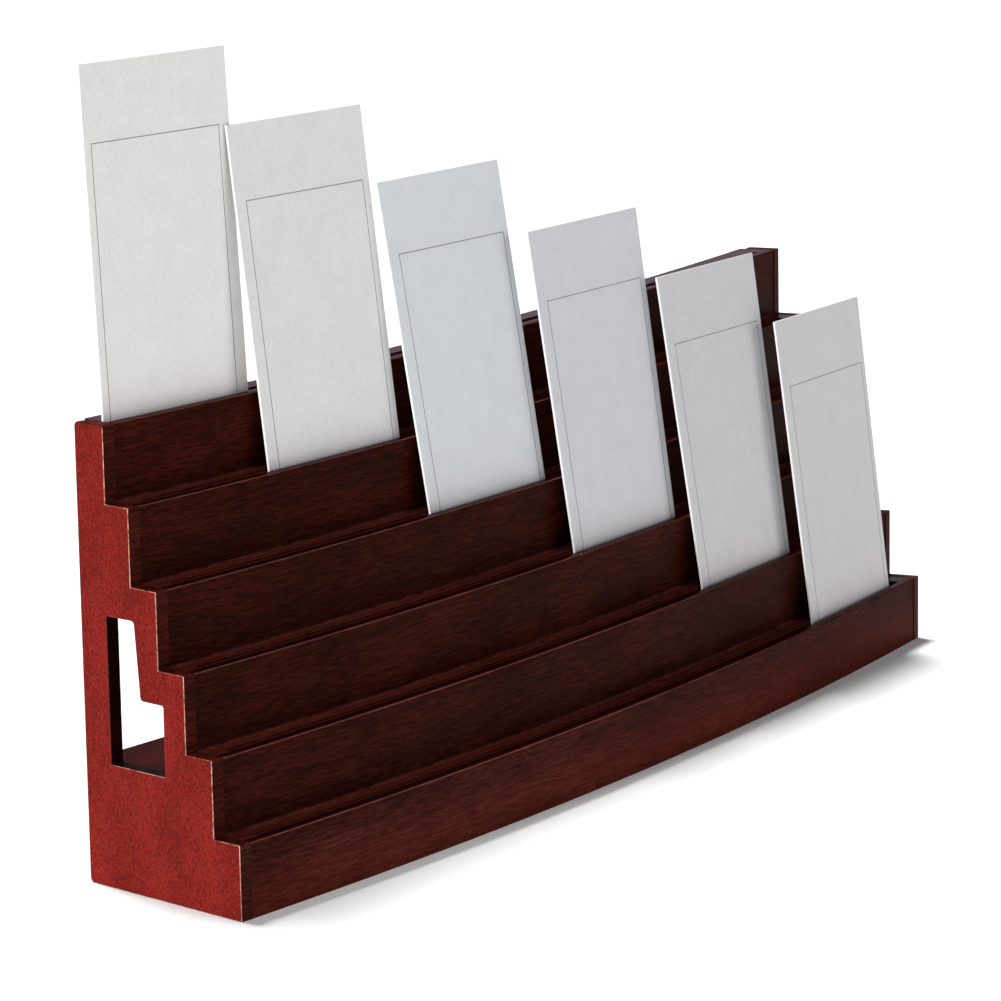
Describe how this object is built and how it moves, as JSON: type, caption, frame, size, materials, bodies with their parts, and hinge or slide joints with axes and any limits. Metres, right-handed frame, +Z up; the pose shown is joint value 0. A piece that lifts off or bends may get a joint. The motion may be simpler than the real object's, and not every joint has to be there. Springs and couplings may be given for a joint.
{
  "type": "tiered card display rack",
  "caption": "Low curved wooden stand with stepped, grooved tiers between cut-out end panels, holding blank white cards upright on edge.",
  "frame": {"origin": "middle of the rack's footprint, on the surface it stands on", "axes": "+X along the rack, to the right of a person facing it; +Y from its lowest tier back to its highest; +Z up"},
  "size_m": [0.367, 0.0677, 0.2185],
  "materials": {
    "stained_wood": "dark mahogany stain, satin lacquer, fine grain along the tiers",
    "panel_board": "red mahogany stain on fibreboard, fine speckle, worn pale edges",
    "card_stock": "matt white card with a thin printed frame line"
  },
  "bodies": {
    "rack": {"end_panel_left": "panel_board", "end_panel_right": "panel_board", "tier_1": "stained_wood", "tier_2": "stained_wood", "tier_3": "stained_wood", "tier_4": "stained_wood", "tier_5": "stained_wood", "tier_6": "stained_wood", "floor_board": "stained_wood", "back_rail": "stained_wood"},
    "card_1": {"card_1": "card_stock"},
    "card_2": {"card_2": "card_stock"},
    "card_3": {"card_3": "card_stock"},
    "card_4": {"card_4": "card_stock"},
    "card_5": {"card_5": "card_stock"},
    "card_6": {"card_6": "card_stock"}
  },
  "joints": [
    {"name": "card_1_lift", "type": "slide", "parent": "rack", "child": "card_1", "axis": [0.0049, 0.0556, 0.9984], "range_m": [0, 0.012]},
    {"name": "card_2_lift", "type": "slide", "parent": "rack", "child": "card_2", "axis": [0.003, 0.0557, 0.9984], "range_m": [0, 0.012]},
    {"name": "card_3_lift", "type": "slide", "parent": "rack", "child": "card_3", "axis": [0.003, 0.1616, 0.9869], "range_m": [0, 0.012]},
    {"name": "card_4_lift", "type": "slide", "parent": "rack", "child": "card_4", "axis": [-0.0024, 0.1392, 0.9903], "range_m": [0, 0.012]},
    {"name": "card_5_lift", "type": "slide", "parent": "rack", "child": "card_5", "axis": [-0.0072, 0.139, 0.9903], "range_m": [0, 0.012]},
    {"name": "card_6_lift", "type": "slide", "parent": "rack", "child": "card_6", "axis": [-0.0101, 0.1197, 0.9928], "range_m": [0, 0.012]}
  ]
}
